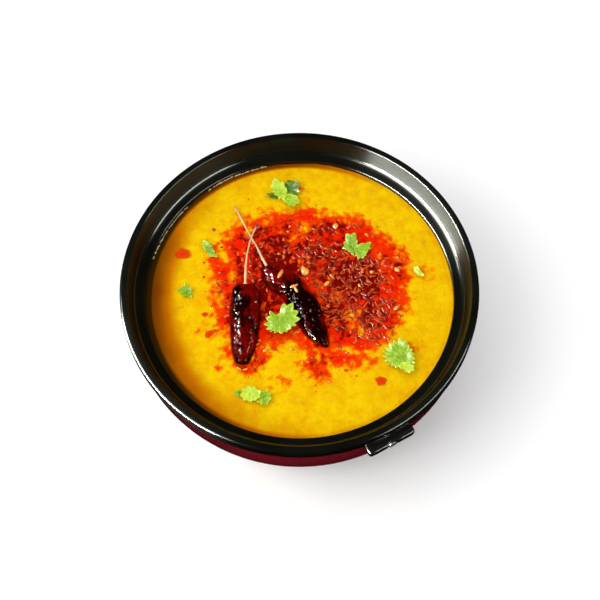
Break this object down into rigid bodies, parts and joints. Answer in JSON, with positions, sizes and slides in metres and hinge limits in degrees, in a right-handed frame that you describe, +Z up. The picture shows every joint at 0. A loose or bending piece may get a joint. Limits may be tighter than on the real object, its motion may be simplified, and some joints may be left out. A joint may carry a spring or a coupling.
{
  "type": "pot of dal",
  "caption": "Round serving pot with a stepped black rim and red outer body, filled with golden lentil dal, tempering, dried chillies and coriander.",
  "frame": {"origin": "middle of the flat base, on the surface that the pot stands on", "axes": "+Z up out of the pot, -Y towards the side it is seen from, +X to the right"},
  "size_m": [0.22, 0.22, 0.078],
  "materials": {
    "red_enamel": "gloss red enamel",
    "black_coating": "satin non-stick coating",
    "black_moulding": "gloss heat-proof moulding",
    "screw_steel": "dark steel",
    "dal": "thick, wet and slightly grainy lentil dal",
    "dried_chilli": "wrinkled and oily",
    "chilli_stem": "dry stalk",
    "chilli_oil": "red oil film",
    "cumin": "fried cumin seed in oil",
    "garlic": "fried garlic",
    "coriander": "fresh leaf"
  },
  "bodies": {
    "root": {"outer_body": "red_enamel", "pan": "black_coating", "lug_front": "black_moulding", "lug_back": "black_moulding", "lug_front_screw": "screw_steel", "lug_back_screw": "screw_steel", "dal": "dal", "chilli_left": "dried_chilli", "chilli_right": "dried_chilli"}
  },
  "joints": []
}
